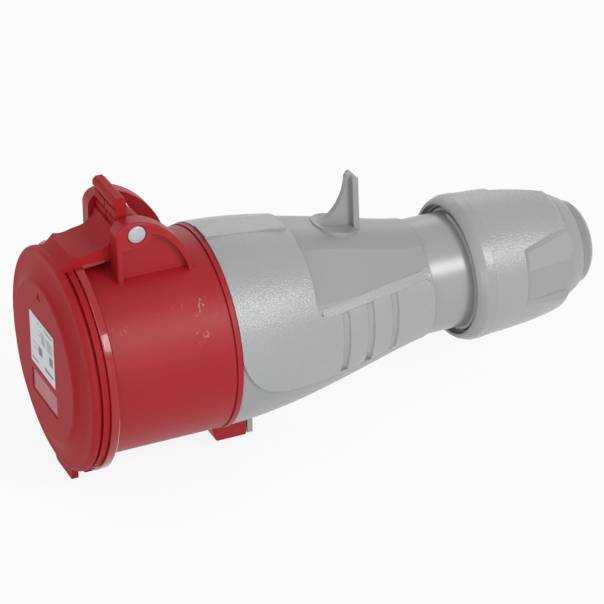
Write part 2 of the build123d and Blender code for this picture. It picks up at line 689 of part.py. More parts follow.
def make_gasket():
    return tube(GASKET_X, GASKET_X + GASKET_W, SPIGOT_R + SLIP, SPIGOT_R - GASKET_DEPTH)


# rear housing: turned body, raised grip skin, flats, fin, neck and thread collar
def body_radius(share):
    return BODY_REAR_R + (SLEEVE_R - BODY_REAR_R) * share


def body_points(raised):
    return [(BODY_X0 + t * BODY_LEN, body_radius(share) + raised) for t, share in BODY_SHAPE]


def body_skin(raised, inner):
    """Turned body from the radius inner out to the body curve, raised by a constant."""
    pts = body_points(raised)
    edges = Curve() + [
        Line((BODY_X0, inner), pts[0]),
        Spline(*pts),
        Line(pts[-1], (BODY_X1, inner)),
        Line((BODY_X1, inner), (BODY_X0, inner)),
    ]
    return spun(edges)


def radius_at(x):
    """Body radius at x, straight between the points of the body curve."""
    points = body_points(0)
    for (xa, ra), (xb, rb) in zip(points, points[1:]):
        if xa <= x <= xb:
            return ra + (rb - ra) * (x - xa) / (xb - xa)
    return BODY_REAR_R


def grip_region():
    """Side view of the raised skin: all the front, then a tongue down each flank."""
    high = SLEEVE_R + 4.8
    tongue_x = STEP_X + 3.4
    floor = [(PAD_X1 - back, z) for back, z in PAD_FLOOR]
    edges = Curve() + [
        Line((BODY_X0, high), (STEP_X + 0.8, high)),
        Line((STEP_X + 0.8, high), (STEP_X - 1.0, PAD_TOP + 4.8)),
        ThreePointArc((STEP_X - 1.0, PAD_TOP + 4.8), (STEP_X + 0.3, PAD_TOP + 1.4), (tongue_x, PAD_TOP)),
        Line((tongue_x, PAD_TOP), (PAD_X1 - 4.0, PAD_TOP)),
        ThreePointArc((PAD_X1 - 4.0, PAD_TOP), (PAD_X1 - 1.2, PAD_TOP - 1.2), (PAD_X1, PAD_TOP - 4.0)),
        Line((PAD_X1, PAD_TOP - 4.0), (PAD_X1, floor[0][1] + 3.5)),
        ThreePointArc((PAD_X1, floor[0][1] + 3.5), (PAD_X1 - 1.0, floor[0][1] + 1.0), floor[0]),
        Spline(*floor, (BODY_X0, 4.0)),
        Line((BODY_X0, 4.0), (BODY_X0, high)),
    ]
    return slab(edges, -SLEEVE_R - 10, SLEEVE_R + 10)


def flank_band():
    """Sloping band on the far side, from the flank's flat up to the top edge of the grip tongue."""
    def section(x):
        r = radius_at(x)
        top = (math.sqrt((r + PAD) ** 2 - PAD_TOP ** 2), PAD_TOP)
        foot = (math.sqrt(r ** 2 - PAD_FOOT ** 2), PAD_FOOT)
        inner = (r - 4.0, PAD_TOP - 1.6)
        across = Plane(origin=(x, 0, 0), x_dir=(0, 1, 0), z_dir=(1, 0, 0))
        return make_face(across * Polyline(top, foot, inner, close=True))
    return loft([section(STEP_X + 1.0), section(PAD_X1 - 3.2)])


def make_fin():
    """Concave web with a round top, and a narrow flange across its rear edge."""
    flange_x = FIN_REAR + 1.6
    web = Curve() + [
        Line((FIN_X0, FIN_ROOT), (FIN_X0, FIN_FOOT_Z)),
        Spline((FIN_X0, FIN_FOOT_Z), (FIN_X0 + 0.37 * FIN_DEPTH, FIN_FOOT_Z + 2.4),
               (FIN_X0 + 0.66 * FIN_DEPTH, FIN_TOP - 9.0), (FIN_REAR - 3.0, FIN_TOP - 0.8)),
        ThreePointArc((FIN_REAR - 3.0, FIN_TOP - 0.8), (FIN_REAR - 2.0, FIN_TOP),
                      (FIN_REAR - 0.8, FIN_TOP - 0.2)),
        Line((FIN_REAR - 0.8, FIN_TOP - 0.2), (FIN_REAR, FIN_TOP - 3.4)),
        Line((FIN_REAR, FIN_TOP - 3.4), (FIN_REAR, FIN_ROOT)),
        Line((FIN_REAR, FIN_ROOT), (FIN_X0, FIN_ROOT)),
    ]
    flange = Curve() + [
        Line((flange_x - FLANGE_T, FIN_ROOT), (flange_x - 3.0, FIN_TOP - 2.0)),
        ThreePointArc((flange_x - 3.0, FIN_TOP - 2.0), (flange_x - 2.3, FIN_TOP - 0.3),
                      (flange_x - 0.9, FIN_TOP - 1.4)),
        Line((flange_x - 0.9, FIN_TOP - 1.4), (flange_x, FIN_ROOT)),
        Line((flange_x, FIN_ROOT), (flange_x - FLANGE_T, FIN_ROOT)),
    ]
    disc = Pos(PAD_DISC_X, 0, PAD_DISC_Z) * Rot(0, PAD_DISC_TILT, 0) * Cylinder(PAD_DISC_R, PAD_DISC_T)
    fin = slab(web, -FIN_T / 2, FIN_T / 2) + slab(flange, -FLANGE_W / 2, FLANGE_W / 2)
    return fin + (disc & block(FIN_X0 - 1, FIN_REAR - 1, -PAD_DISC_HALF, PAD_DISC_HALF, FIN_ROOT, FIN_TOP))


def grip_groove(x):
    """Round-bottomed groove down one flank, cut by a ring round the housing."""
    ring = spun(Pos(x, radius_at(x) + PAD + GRIP_R - GRIP_DEPTH) * Circle(GRIP_R).edge())
    return ring & block(x - 2 * GRIP_R, x + 2 * GRIP_R, 0, SLEEVE_R + 10, GRIP_LOW, PAD_TOP - 0.2)


def make_housing():
    core = NECK_BORE / 2
    body = body_skin(0.0, core)
    beyond = FLAT_NEAR + FLAT_REACH
    flat = slab(Polyline((FLAT_START, FLAT_NEAR), (BODY_X1 + 1, FLAT_FAR), (BODY_X1 + 1, beyond),
                         (FLAT_START, beyond), close=True), -SLEEVE_R / 2, SLEEVE_R / 2)
    for turn in (45, -45):
        body -= Rot(turn, 0, 0) * flat
    body += body_skin(PAD, core) & grip_region()
    band = flank_band()
    body += band
    body += mirror(band, Plane.XZ)
    ridge_end = STEP_X - 1.7
    ridge = Polyline((BODY_X0, SLEEVE_R - 5), (BODY_X0, SLEEVE_R + RIDGE_RISE),
                     (ridge_end, radius_at(ridge_end) + 1.5), (STEP_X + 0.7, SLEEVE_R - 5), close=True)
    body += slab(ridge, -RIDGE_HALF, RIDGE_HALF)
    body += tube(BODY_X1 - 1.0, NECK_END, NECK_R, core)
    body += make_fin()
    for i in range(GRIP_CUTS):
        groove = grip_groove(GRIP_X0 + i * GRIP_PITCH)
        body -= groove
        body -= mirror(groove, Plane.XZ)
    tab_half = BLOCK_HALF - REAR_TAB_INSET
    low = BLOCK_Z + REAR_TAB_RISE
    tab = block(REAR_TAB_X, REAR_TAB_X + REAR_TAB_T, -tab_half, tab_half, low, -SLEEVE_R + 5)
    body += tab - tube(BODY_X0, BODY_X1, SLEEVE_R - 2.7)
    body += turned([(THREAD_X, core), (THREAD_X, NECK_R), (THREAD_X + THREAD_LEAD, THREAD_ROOT_R),
                    (NECK_END - THREAD_LEAD, THREAD_ROOT_R), (NECK_END, NECK_R), (NECK_END, core)])
    return body - housing_cavity()


def housing_cavity():
    """Spigot socket, hollow that follows the body curve, cable way and seal seat."""
    seat = SPIGOT_END + 2.0
    inside = [(x, r - BODY_WALL) for x, r in body_points(0) if x > seat + 5]
    return turned([(BODY_X0 - PASS, 0), (BODY_X0 - PASS, SPIGOT_R + SLIP), (seat, SPIGOT_R + SLIP),
                   (seat + 1.0, SPIGOT_R - 1.7)] + inside[:-1] + [(BODY_X1 + 1.0, NECK_BORE),
                   (SEAT_X, NECK_BORE), (SEAT_X, SEAT_R), (NECK_END + PASS, SEAT_R), (NECK_END + PASS, 0)])


# cable gland: nut, end bush, basket, seal and slip ring
def nut_bore():
    """Points of the nut's hollow, from its rear to its mouth."""
    ring_end = NECK_END + SLIP_RING_T + BASKET_RING - 0.4
    return [(NUT_REAR, BUSH_R + SLIP), (CONE_X1, BUSH_R + SLIP), (CONE_X1, CONE_R1 + GAP),
            (CONE_X0, CONE_R0 + GAP), (ring_end, BASKET_R + 0.4), (ring_end, NUT_BORE),
            (NUT_X0 + MOUTH_DEPTH, NUT_BORE), (NUT_X0 + MOUTH_DEPTH, MOUTH_R), (NUT_X0, MOUTH_R)]


def nut_skin():
    """Barrel of the nut as one thick skin of revolution."""
    barrel = [(NUT_X0 + dx, r) for dx, r in BARREL_SHAPE]
    end = (barrel[-1][0] + 1.0, barrel[-1][1] - 0.9)
    edges = Curve() + [
        Polyline((end[0], CABLE_R), (NUT_X0, CABLE_R), (NUT_X0, MOUTH_R + MOUTH_LIP),
                 (NUT_X0 + 1.2, BAND_R - 0.8),
                 (NUT_X0 + 3.6, BAND_R), (NUT_X0 + BAND_LEN, BAND_R), barrel[0]),
        Spline(*barrel),
        Polyline(barrel[-1], end, (end[0], CABLE_R)),
    ]
    return spun(edges)


def nut_core():
    """Flats and domed cap that the recesses lay bare."""
    cap = [(NUT_X0 + dx, r) for dx, r in CAP_SHAPE]
    edges = Curve() + [
        Polyline((NUT_REAR, CABLE_R), (FACE_X0, CABLE_R), (FACE_X0, FACE_R0 + 1.0), cap[0]),
        Spline(*cap),
        Line(cap[-1], (NUT_REAR, CABLE_R)),
    ]
    ends = [Plane(origin=(x, 0, 0), x_dir=(0, 1, 0), z_dir=(1, 0, 0))
            * RegularPolygon(r, NUT_FACES, major_radius=False, rotation=FACE_TURN)
            for x, r in ((FACE_X0, FACE_R0), (NUT_REAR, FACE_R1))]
    return spun(edges) & loft(ends, ruled=True)


def recess_section(x, floor, half):
    """Section of a recess: a deep floor between side walls that slope out at 45 degrees."""
    a = math.radians(half)
    slope = a + math.radians(45)
    corner = (floor * math.sin(a), floor * math.cos(a))
    out = (corner[0] + 9 * math.sin(slope), corner[1] + 9 * math.cos(slope))
    right = [(0, corner[1] - 5), corner, out, (0, floor + 14)]
    left = [(-y, z) for y, z in right[2:0:-1]]
    across = Plane(origin=(x, 0, 0), x_dir=(0, 1, 0), z_dir=(1, 0, 0))
    return make_face(across * Polyline(*right, *left, close=True))


def recess():
    """One recess at twelve o'clock, wider at the rear, with a sloping front wall."""
    lobe_end = NUT_X0 + BARREL_SHAPE[-1][0]
    span = lobe_end - RECESS_X
    ahead, behind = 4.0, NUT_REAR + PASS - lobe_end
    (r0, h0), (r1, h1) = RECESS_FRONT, RECESS_REAR
    front = recess_section(RECESS_X - ahead, r0 + (r0 - r1) * ahead / span, h0 + (h0 - h1) * ahead / span)
    rear = recess_section(lobe_end + behind, r1 + (r1 - r0) * behind / span, h1 + (h1 - h0) * behind / span)
    wall = turned([(RECESS_X - 15, 0), (RECESS_X - 15, RECESS_R + 15),
                   (RECESS_X - 15 + PASS, RECESS_R + 15),
                   (RECESS_X + RECESS_R, 0)])
    return loft([front, rear], ruled=True) - wall


def make_nut():
    skin = nut_skin()
    cut = recess()
    for turn in round_about(LOBES, RECESS_TURN):
        skin -= Rot(turn, 0, 0) * cut
    hollow = turned([(NUT_REAR + PASS, 0), (NUT_REAR + PASS, BUSH_R + SLIP)] + nut_bore()
                    + [(NUT_X0 - PASS, MOUTH_R), (NUT_X0 - PASS, 0)])
    return skin + nut_core() - hollow


def make_end_bush():
    """Domed bush pressed into the nut's rear, with the cable's hole through it."""
    mouth = CABLE_R + BUSH_MOUTH
    round_x = NUT_REAR + BUSH_LEN / 2
    edges = Curve() + [
        Polyline((BUSH_END, mouth), (BUSH_END - 1.0, CABLE_R), (CONE_X1 + GAP, CABLE_R),
                 (CONE_X1 + GAP, BUSH_R),
                 (NUT_REAR, BUSH_R), (NUT_REAR, BUSH_FLANGE_R), (round_x, BUSH_FLANGE_R - 1.1)),
        Spline((round_x, BUSH_FLANGE_R - 1.1), (round_x + 0.3 * BUSH_LEN, BUSH_FLANGE_R - 3.2),
               (BUSH_END, mouth)),
    ]
    return spun(edges)


def make_basket():
    """Clamping basket: a ring with fingers that close on the cable seal."""
    x0 = NECK_END + SLIP_RING_T
    x1 = x0 + BASKET_RING
    tip = CONE_X1 - 0.5
    ring = turned([(x0, BASKET_IN), (x0, BASKET_R), (x1, BASKET_R), (x1, BASKET_IN)])
    fingers = turned([(x1, BASKET_IN), (x1, CONE_R0), (CONE_X0, CONE_R0), (tip, CONE_R1 + 0.2),
                      (tip, SEAL_TIP_R - 0.2), (CONE_X0 - 1.2, BASKET_IN)])
    for a in round_about(BASKET_FINGERS):
        fingers -= Rot(a, 0, 0) * block(x1 + FINGER_ROOT, CONE_X1 + PASS, -FINGER_GAP / 2, FINGER_GAP / 2,
                                        CABLE_R / 2, BASKET_R + 2)
    return ring + fingers


def make_cable_seal():
    hole = CABLE_R + SEAL_PLAY
    body = BASKET_IN - SLIP
    return turned([(SEAT_X, hole), (SEAT_X, SEAT_R - SLIP), (NECK_END, SEAT_R - SLIP), (NECK_END, body),
                   (CONE_X0 - 1.2, body), (SEAL_END, SEAL_TIP_R), (SEAL_END, hole)])


def make_slip_ring():
    return tube(NECK_END, NECK_END + SLIP_RING_T, SLIP_RING_R, BASKET_IN)


def save(shape, name):
    shape.label = name
    export_step(shape, "parts/" + name + ".step")


save(make_lid(), "lid")
save(make_lid_seal(), "lid_seal")
save(make_label(), "lid_label")
save(make_pin(), "hinge_pin")
save(make_spring(), "lid_spring")
save(make_sleeve(), "socket_sleeve")
save(make_carrier(), "contact_carrier")
for pole, py, pz, pr in poles():
    save(make_contact(py, pz, pr), "contact_" + pole)
save(Compound([make_clamp_ring(y, z, r) for n, y, z, r in poles() if n != "earth"]), "phase_clamp_rings")
save(Compound([make_clamp_ring(y, z, r) for n, y, z, r in poles() if n == "earth"]), "earth_clamp_ring")
save(make_plate(), "terminal_plate")
save(make_plate_screws(), "plate_screws")
save(make_terminal_screws(), "terminal_screws")
save(make_gasket(), "body_gasket")
save(make_housing(), "rear_housing")
save(make_cable_seal(), "cable_seal")
save(make_slip_ring(), "slip_ring")
save(make_basket(), "clamp_basket")
save(make_nut(), "gland_nut")
save(make_end_bush(), "end_bush")
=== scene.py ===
import math

import bpy
import numpy as np
from mathutils import Matrix, Vector


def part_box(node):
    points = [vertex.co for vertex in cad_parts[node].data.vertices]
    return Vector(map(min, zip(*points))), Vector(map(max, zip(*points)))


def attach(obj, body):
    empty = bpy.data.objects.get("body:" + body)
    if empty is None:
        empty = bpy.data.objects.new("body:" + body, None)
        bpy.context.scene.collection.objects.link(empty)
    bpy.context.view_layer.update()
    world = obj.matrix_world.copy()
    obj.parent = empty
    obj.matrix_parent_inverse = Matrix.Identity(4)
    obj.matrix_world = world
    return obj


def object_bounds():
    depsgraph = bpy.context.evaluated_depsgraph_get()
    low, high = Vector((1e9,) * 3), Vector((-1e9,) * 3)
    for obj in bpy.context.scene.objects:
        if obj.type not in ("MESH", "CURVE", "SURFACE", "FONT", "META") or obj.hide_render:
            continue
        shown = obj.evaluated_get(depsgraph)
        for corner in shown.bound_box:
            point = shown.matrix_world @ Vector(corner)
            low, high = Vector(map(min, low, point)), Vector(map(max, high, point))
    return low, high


# Dresses the inline socket: moulded, metal and rubber finishes on its parts, the gland
# thread, the print on the lid's label, and the stage. Metres, in the part's own frame.
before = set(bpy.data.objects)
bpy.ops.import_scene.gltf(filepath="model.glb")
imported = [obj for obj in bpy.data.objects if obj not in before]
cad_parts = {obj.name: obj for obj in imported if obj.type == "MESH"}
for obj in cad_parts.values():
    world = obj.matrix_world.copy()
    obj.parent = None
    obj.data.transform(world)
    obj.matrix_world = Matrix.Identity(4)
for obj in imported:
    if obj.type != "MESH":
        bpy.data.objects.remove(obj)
CAD_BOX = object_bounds()

bl_info = {
    "name": "Inline socket dressing",
    "version": (1, 0, 0),
    "blender": (4, 5, 0),
    "location": "3D View > Sidebar > Socket",
    "description": "Finishes, thread, label print and stage for the inline socket",
    "category": "Object",
}

MM = 0.001

# Places on the parts where a finish changes
LID_BAND_X = 0.5 * MM                     # glossy band round the lid's rear: front edge and radii
LID_BAND_R = (38.275 * MM, 39.65 * MM)
WINDOW_Y = 11.5 * MM                      # lid's window for writing: half its width and height,
WINDOW_Z = 4.15 * MM                      # its middle below the axis, and the face that it lies in
WINDOW_LOW = 12.15 * MM
WINDOW_X = -7.85 * MM
SKIN_FRONT_X = 79.55 * MM                 # end of the front part of the housing's raised grip skin
SKIN_LOW_Z = -14.2 * MM                   # its lower edge, and how that rises towards the sleeve
SKIN_RISE = 18 * MM
SKIN_RISE_X = 49 * MM
SKIN_RISE_LEN = 6 * MM
TONGUE_TOP_Z = 13.0 * MM
TONGUE_END_X = 127.15 * MM
NECK_X = 127.65 * MM
NUT_BAND_X = 148.9 * MM                   # rear edge of the band at the nut's mouth
BARREL_X = 149 * MM                       # start and radius of the barrel behind it
BARREL_R = 25.95 * MM

# Patches of scratches on the sleeve: middle and reach in millimetres
SCUFFS = (((39.1, -26.8, 22.9), 5.5), ((9.0, -27.0, 22.5), 4.0), ((35.8, -31.6, 15.6), 4.5),
          ((31.0, -25.0, 24.6), 3.5))

# Print on the label: left, right, bottom and top of each field, as shares of the film
BROKEN_BARS = ((0.06, 0.40, 0.90, 0.935), (0.50, 0.66, 0.90, 0.935), (0.06, 0.62, 0.775, 0.80),
               (0.06, 0.56, 0.73, 0.755), (0.06, 0.62, 0.685, 0.71), (0.06, 0.50, 0.64, 0.665),
               (0.06, 0.58, 0.595, 0.62), (0.70, 0.94, 0.08, 0.12))
SOLID_FIELDS = ((0.05, 0.20, 0.36, 0.54), (0.50, 0.66, 0.30, 0.47), (0.72, 0.90, 0.33, 0.345),
                (0.72, 0.90, 0.44, 0.455), (0.06, 0.42, 0.13, 0.19))
FIELD_EDGE = 0.008

FLOOR_HALF = 1.6
FLOOR_GLOW = 0.88     # share of plain white in the floor as the camera sees it


class Value:
    """A number that a node gives out. Arithmetic on it adds Math nodes."""

    def __init__(self, finish, socket):
        self.finish = finish
        self.socket = socket

    def math(self, operation, *others):
        """A Math node with this value first."""
        sockets = {i: v for i, v in enumerate((self,) + others)}
        return self.finish.value("ShaderNodeMath", {"operation": operation}, sockets)

    def turned(self, operation, first):
        """A Math node with this value second, for a number on the left."""
        return self.finish.value("ShaderNodeMath", {"operation": operation}, {0: first, 1: self})

    def __add__(self, other):
        return self.math("ADD", other)

    def __radd__(self, other):
        return self.turned("ADD", other)

    def __sub__(self, other):
        return self.math("SUBTRACT", other)

    def __rsub__(self, other):
        return self.turned("SUBTRACT", other)

    def __mul__(self, other):
        return self.math("MULTIPLY", other)

    def __rmul__(self, other):
        return self.turned("MULTIPLY", other)

    def __truediv__(self, other):
        return self.math("DIVIDE", other)

    def __pow__(self, other):
        return self.math("POWER", other)


class Finish:
    """A material whose nodes are added one call at a time."""

    def __init__(self, name, **uniform):
        self.material = bpy.data.materials.new(name)
        self.material.use_nodes = True
        self.tree = self.material.node_tree
        self.tree.nodes.clear()
        self.output = self.node("ShaderNodeOutputMaterial")
        self.shader = self.node("ShaderNodeBsdfPrincipled")
        self.put(self.output.inputs["Surface"], self.shader.outputs["BSDF"])
        self.coordinates = self.node("ShaderNodeTexCoord").outputs["Object"]
        split = self.node("ShaderNodeSeparateXYZ", sockets={0: self.coordinates})
        self.x, self.y, self.z = (Value(self, split.outputs[i]) for i in range(3))
        for key, value in uniform.items():
            self.put(self.shader.inputs[key.replace("_", " ")], value)

    def node(self, kind, settings=None, sockets=None):
        """Adds a node of that type: its settings first, then what its sockets hold or are linked to."""
        node = self.tree.nodes.new(kind)
        for key, value in (settings or {}).items():
            setattr(node, key, value)
        for key, value in (sockets or {}).items():
            self.put(node.inputs[key], value)
        return node

    def put(self, socket, value):
        """Links a socket to another's output, or sets it to a number or colour."""
        if isinstance(value, Value):
            value = value.socket
        if isinstance(value, bpy.types.NodeSocket):
            self.tree.links.new(value, socket)
        else:
            socket.default_value = value

    def value(self, kind, settings=None, sockets=None, out=0):
        """Adds a node and gives the number at one of its outputs."""
        return Value(self, self.node(kind, settings, sockets).outputs[out])

    def radius(self):
        """Distance from the connector's axis."""
        return (self.y * self.y + self.z * self.z) ** 0.5

    def step(self, value, low, high):
        """0 below low and 1 above high, smooth between."""
        sockets = {"Value": value, "From Min": low, "From Max": high}
        return self.value("ShaderNodeMapRange", {"interpolation_type": "SMOOTHSTEP"}, sockets)

    def edge(self, value, at, soft=0.1 * MM):
        """0 below that place and 1 above it, smooth over soft to each side."""
        return self.step(value, at - soft, at + soft)

    def noise(self, size, detail=2.0, roughness=0.5, stretch=(1, 1, 1)):
        """Cloudy noise about 0.5, with lumps of that size."""
        scaled = self.node("ShaderNodeVectorMath", {"operation": "MULTIPLY"},
                           {0: self.coordinates, 1: [s / size for s in stretch]})
        sockets = {"Vector": scaled.outputs[0], "Scale": 1.0, "Detail": detail, "Roughness": roughness}
        return self.value("ShaderNodeTexNoise", None, sockets)

    def mix(self, share, first, second):
        """A colour between two colours."""
        node = self.node("ShaderNodeMix", {"data_type": "RGBA"}, {0: share, 6: first, 7: second})
        return node.outputs[2]

    def bump(self, height, depth, normal=None):
        """Normal of a surface raised by height times depth."""
        sockets = {"Height": height, "Distance": depth, "Strength": 1.0}
        if normal is not None:
            sockets["Normal"] = normal
        return self.node("ShaderNodeBump", None, sockets).outputs[0]

    def soft_edges(self, radius):
        """Normal that rounds off sharp edges by that radius."""
        return self.node("ShaderNodeBevel", {"samples": 4}, {"Radius": radius}).outputs[0]

    def show(self, **varying):
        """Feeds the shader what varies over the surface."""
        for key, value in varying.items():
            self.put(self.shader.inputs[key.replace("_", " ")], value)
        return self.material


def rgba(colour, light=1.0):
    """An opaque colour, made lighter or darker."""
    return [c * light for c in colour] + [1.0]


def dress(material, *nodes):
    """Gives CAD nodes a finish."""
    for name in nodes:
        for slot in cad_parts[name].material_slots:
            slot.material = material


class SocketColours(bpy.types.PropertyGroup):
    red: bpy.props.FloatVectorProperty(
        name="Red moulding", description="Lid and sleeve", subtype="COLOR", default=(0.345, 0.007, 0.013))
    grey: bpy.props.FloatVectorProperty(
        name="Grey moulding", description="Rear housing and gland nut", subtype="COLOR",
        default=(0.330, 0.336, 0.344))
    bush_grey: bpy.props.FloatVectorProperty(
        name="End bush", description="Glossy bush at the cable end", subtype="COLOR",
        default=(0.25, 0.258, 0.266))
    pin_grey: bpy.props.FloatVectorProperty(
        name="Hinge pin", description="Smooth pale grey plastic", subtype="COLOR",
        default=(0.46, 0.47, 0.48))
    label: bpy.props.FloatVectorProperty(
        name="Label", description="White film of the label", subtype="COLOR", default=(0.60, 0.62, 0.66))
    ink: bpy.props.FloatVectorProperty(
        name="Ink", description="Print on the label", subtype="COLOR", default=(0.08, 0.085, 0.1))
    carrier: bpy.props.FloatVectorProperty(
        name="Carrier", description="Dark moulding that holds the contacts", subtype="COLOR",
        default=(0.035, 0.035, 0.038))


class SocketGrain(bpy.types.PropertyGroup):
    size: bpy.props.FloatProperty(
        name="Grain size", description="Lumps of the eroded texture", default=0.00065, unit="LENGTH")
    depth: bpy.props.FloatProperty(
        name="Grain depth", description="Height of the eroded texture", default=0.00019, unit="LENGTH")
    edge: bpy.props.FloatProperty(
        name="Edge radius", description="Rounding of moulded edges", default=0.00025, unit="LENGTH")


class SocketThread(bpy.types.PropertyGroup):
    pitch: bpy.props.FloatProperty(
        name="Pitch", description="Advance of the gland thread in a turn", default=0.003, unit="LENGTH")
    root: bpy.props.FloatProperty(
        name="Root", description="Radius of the neck under the thread", default=0.021, unit="LENGTH")
    crest: bpy.props.FloatProperty(
        name="Crest", description="Radius of the ridge", default=0.0221, unit="LENGTH")
    start: bpy.props.FloatProperty(
        name="Start", description="Where the ridge starts along the axis", default=0.1426, unit="LENGTH")
    turns: bpy.props.FloatProperty(name="Turns", description="Turns of the ridge", default=3.2)
    first: bpy.props.FloatProperty(
        name="First angle", description="Where the ridge starts round the axis", default=math.radians(86),
        subtype="ANGLE")


class SocketStage(bpy.types.PropertyGroup):
    eye: bpy.props.FloatVectorProperty(
        name="Camera place", description="Where the photograph was taken from", subtype="TRANSLATION",
        default=(-0.2856, -0.8085, 0.4992))
    azimuth: bpy.props.FloatProperty(
        name="Azimuth", description="Camera direction round the part", default=math.radians(-24.721),
        subtype="ANGLE")
    elevation: bpy.props.FloatProperty(
        name="Elevation", description="Camera direction above the horizon", default=math.radians(29.283),
        subtype="ANGLE")
    roll: bpy.props.FloatProperty(
        name="Roll", description="Turn of the picture", default=math.radians(-0.199), subtype="ANGLE")
    focal: bpy.props.FloatProperty(
        name="Focal length", description="In picture widths", default=2959.86 / 604)
    floor: bpy.props.FloatVectorProperty(
        name="Floor", description="Floor under the part", subtype="COLOR", default=(0.93, 0.93, 0.93))
    sky: bpy.props.FloatProperty(
        name="Ambient", description="Level of the light from all round", default=0.5)
    key: bpy.props.FloatProperty(
        name="Key", description="Power of the key light", default=24.0, unit="POWER")


def scuffs(f):
    """Thin pale scratches in patches of the sleeve: fine lines where a cloud crosses its middle."""
    patches = 0.0
    for place, reach in SCUFFS:
        ends = {0: f.coordinates, 1: [c * MM for c in place]}
        away = f.value("ShaderNodeVectorMath", {"operation": "DISTANCE"}, ends, 1)
        near = 1 - f.step(away, 0.35 * reach * MM, reach * MM)
        patches = near.math("MAXIMUM", patches)
    cloud = f.noise(0.0046, 2.5, 0.62, (1, 0.6, 0.6))
    line = 1 - f.step((cloud - 0.5).math("ABSOLUTE"), 0.004, 0.013)
    broken = f.step(f.noise(0.0022, 1), 0.47, 0.56)
    return line * broken * patches


def lid_areas(f):
    """The glossy band round the lid's rear, and the smooth window for writing under the label."""
    away = f.radius()
    inner, outer = LID_BAND_R
    band = f.edge(f.x, LID_BAND_X) * f.edge(away, inner, 0.075 * MM)
    band = band * (1 - f.edge(away, outer, 0.05 * MM))
    across = 1 - f.edge(f.y.math("ABSOLUTE"), WINDOW_Y)
    upright = 1 - f.edge((f.z + WINDOW_LOW).math("ABSOLUTE"), WINDOW_Z)
    window = across * upright * (1 - f.edge(f.x, WINDOW_X, 0.05 * MM))
    return band, window


def red_moulding(name, lid):
    """Red plastic with faint clouding and fine grain. The lid has a glossy rear band and a smooth window
    for writing on, whose lighter pinker colour is a painted reflection of its gloss, and the sleeve has
    scuffs."""
    look = bpy.context.scene.socket_colours
    grain = bpy.context.scene.socket_grain
    f = Finish(name, Specular_IOR_Level=0.22 if lid else 0.36, Coat_Roughness=0.04)
    cloud = f.noise(0.019, 2)
    fine = f.noise(grain.size, 2, 0.6)
    colour = f.mix(f.step(cloud, 0.3, 0.7), rgba(look.red, 0.97), rgba(look.red, 1.03))
    rough = 0.40 + 0.04 * cloud + 0.06 * fine
    if lid:
        band, window = lid_areas(f)
        smooth = band.math("MAXIMUM", window)
        # painted reflection: the window is tinted lighter and pinker to show the sheen of its smooth face
        colour = f.mix(window * 0.6, colour, rgba((0.40, 0.06, 0.065)))
        rough = (rough + 0.12) * (1 - smooth) + 0.14 * band + 0.24 * window
        coat = 0.5 * band + 0.1 * window
        height = fine * (0.75 - 0.73 * smooth)
    else:
        scratch = scuffs(f)
        colour = f.mix(scratch * 0.6, colour, rgba((0.62, 0.30, 0.27)))
        rough = rough + 0.2 * scratch
        coat = 0.0
        height = fine * 0.35 - scratch * 0.2
    return f.show(Base_Color=colour, Roughness=rough, Coat_Weight=coat,
                  Normal=f.bump(height, grain.depth, f.soft_edges(grain.edge)))


def grey_moulding(name, areas):
    """Grey plastic with faint clouding. Areas says where it is textured and where glossy. The texture is a
    little lighter than the gloss. The plain satin elsewhere is painted a little darker: painted shade for
    the dimmer light on the housing's flanks and the nut's flats."""
    look = bpy.context.scene.socket_colours
    grain = bpy.context.scene.socket_grain
    f = Finish(name, Specular_IOR_Level=0.8)
    cloud = f.noise(0.02, 2)
    fine = f.noise(grain.size, 2.5, 0.65)
    textured, gloss = areas(f)
    # plain marks the untextured satin; the shade below darkens it towards 0.88 of the grey as painted shade
    plain = (1 - textured) * (1 - gloss)
    shade = 0.41 + 0.14 * f.step(cloud, 0.3, 0.7) - 0.41 * plain
    shade = shade + (0.2 + 0.14 * f.step(fine, 0.35, 0.65)) * textured
    colour = f.mix(shade, rgba(look.grey, 0.88), rgba(look.grey, 1.10))
    rough = 0.32 + 0.03 * cloud - 0.14 * textured - 0.05 * gloss
    height = fine * (0.06 + 0.94 * textured)
    return f.show(Base_Color=colour, Roughness=rough,
                  Normal=f.bump(height, grain.depth, f.soft_edges(grain.edge)))


def housing_areas(f):
    """Texture on the raised grip skin, gloss on the neck. The skin's front part and tongue lie above
    z = SKIN_LOW_Z + SKIN_RISE exp((SKIN_RISE_X - x) / SKIN_RISE_LEN)."""
    power = (SKIN_RISE_X - f.x) * (1 / SKIN_RISE_LEN)
    rise = f.value("ShaderNodeMath", {"operation": "EXPONENT"}, {0: power})
    above = f.edge(f.z - (SKIN_RISE * rise + SKIN_LOW_Z), -0.05 * MM, 0.15 * MM)
    front = 1 - f.edge(f.x, SKIN_FRONT_X, 0.35 * MM)
    tongue = (1 - f.edge(f.z, TONGUE_TOP_Z)) * (1 - f.edge(f.x, TONGUE_END_X, 0.15 * MM))
    skin = front.math("MAXIMUM", tongue) * above
    neck = f.edge(f.x, NECK_X, 0.35 * MM)
    return skin, neck


def nut_areas(f):
    """Texture on the lobes, fainter on the band at the mouth, and an even slight gloss. The lobes reach
    the barrel's surface, at radius BARREL_R - 0.035 a - 2.7 a^2 for a distance a behind BARREL_X."""
    behind = f.x - BARREL_X
    barrel = BARREL_R - 0.035 * behind - 2.7 * behind * behind
    lobes = f.edge(f.radius() - barrel, -0.35 * MM)
    band = 1 - f.edge(f.x, NUT_BAND_X)
    return lobes * (1 - 0.35 * band), 0.25


